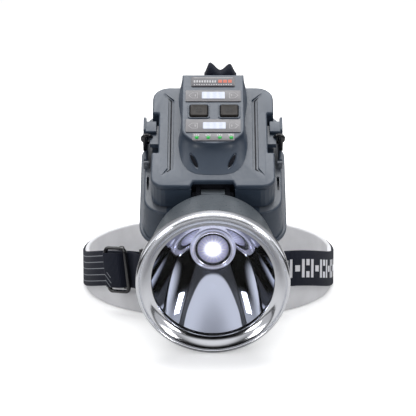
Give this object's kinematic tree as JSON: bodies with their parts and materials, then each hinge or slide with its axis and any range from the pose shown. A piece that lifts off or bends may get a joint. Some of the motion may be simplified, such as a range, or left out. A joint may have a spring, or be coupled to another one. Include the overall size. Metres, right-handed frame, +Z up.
{
  "type": "miner's headlamp",
  "caption": "Headlamp: round lamp head tilting on a battery case with control panel and side latches, on an elastic headband with foam liner and top strap.",
  "frame": {"origin": "centre of the lamp's bounding box in plan, at the height of the surface it stands on; the headband's vertical centre line passes through X = 0", "axes": "+Z up, -Y along the beam towards the front, +X to the lamp's left-hand side seen by the wearer facing -Y"},
  "size_m": [0.1772, 0.2662, 0.1655],
  "materials": {
    "case_grey": "satin blue-grey",
    "panel_grey": "satin warm grey",
    "black_plastic": "satin black",
    "button_rubber": "matt dark brown-grey",
    "seal_rubber": "matt black",
    "chrome": "bright silver",
    "reflector": "mirror",
    "glass": "clear",
    "led": "pale yellow",
    "display": "white, lit",
    "indicator": "green, lit",
    "circuit_board": "green solder mask",
    "aluminium": "machined",
    "steel": "satin",
    "battery": "shrink sleeve",
    "webbing": "woven black-navy elastic",
    "liner_foam": "matt pale grey foam",
    "pad_foam": "matt black foam"
  },
  "bodies": {
    "case_and_headband": {"upper_case": "case_grey", "top_lid": "case_grey", "control_housing": "case_grey", "lower_tray": "case_grey", "base_plate": "case_grey", "name_plate": "panel_grey", "strip_upper": "panel_grey", "strip_lower": "panel_grey", "indicator_strip": "panel_grey", "cell_holder": "black_plastic", "driver_coil": "black_plastic", "strap_bar": "black_plastic", "hinge_bracket": "black_plastic", "forehead_bracket": "black_plastic", "headband_buckle": "black_plastic", "top_strap_adjuster": "black_plastic", "rear_slider": "black_plastic", "case_gasket": "seal_rubber", "display_upper": "display", "display_lower": "display", "charge_indicators": "indicator", "control_board": "circuit_board", "driver_board": "circuit_board", "hinge_pin": "steel", "hinge_nut": "steel", "latch_pin_left": "steel", "latch_pin_right": "steel", "bracket_screw_1": "steel", "bracket_screw_2": "steel", "bracket_screw_3": "steel", "bracket_screw_4": "steel", "contact_front": "steel", "contact_back": "steel", "charge_port": "steel", "battery_cell_1": "battery", "battery_cell_2": "battery", "battery_cell_3": "battery", "battery_cell_4": "battery", "headband": "webbing", "top_strap": "webbing", "headband_liner": "liner_foam", "forehead_pad": "pad_foam", "crown_pad": "pad_foam"},
    "lamp_head": {"head_shell": "case_grey", "bezel_ring": "chrome", "front_lens": "glass", "lens_gasket": "seal_rubber", "reflector": "reflector", "led_retainer": "chrome", "led_lens": "glass", "led_chip": "led", "led_board": "aluminium", "heat_sink": "aluminium", "head_neck": "case_grey"},
    "left_button": {"button_left": "button_rubber"},
    "right_button": {"button_right": "button_rubber"},
    "left_latch": {"latch_left": "case_grey"},
    "right_latch": {"latch_right": "case_grey"},
    "port_flap": {"port_cover": "seal_rubber"}
  },
  "joints": [
    {"name": "head_tilt", "type": "hinge", "parent": "case_and_headband", "child": "lamp_head", "pos_m": [0.0033, -0.06122, 0.08927], "axis": [-1, 0, 0], "range_deg": [-8, 28]},
    {"name": "left_button_press", "type": "slide", "parent": "case_and_headband", "child": "left_button", "axis": [0, 0.5, -0.866], "range_m": [0, 0.0008], "stiffness_N_per_m": 500},
    {"name": "right_button_press", "type": "slide", "parent": "case_and_headband", "child": "right_button", "axis": [0, 0.5, -0.866], "range_m": [0, 0.0008], "stiffness_N_per_m": 500},
    {"name": "left_latch_hinge", "type": "hinge", "parent": "case_and_headband", "child": "left_latch", "pos_m": [-0.0413, -0.01297, 0.1117], "axis": [0, -0.866, -0.5], "range_deg": [0, 80]},
    {"name": "right_latch_hinge", "type": "hinge", "parent": "case_and_headband", "child": "right_latch", "pos_m": [0.0479, -0.01297, 0.1117], "axis": [0, 0.866, 0.5], "range_deg": [0, 80]},
    {"name": "port_flap_hinge", "type": "hinge", "parent": "case_and_headband", "child": "port_flap", "pos_m": [0.0298, 0.0238, 0.13501], "axis": [-1, 0, 0], "range_deg": [0, 95]}
  ]
}
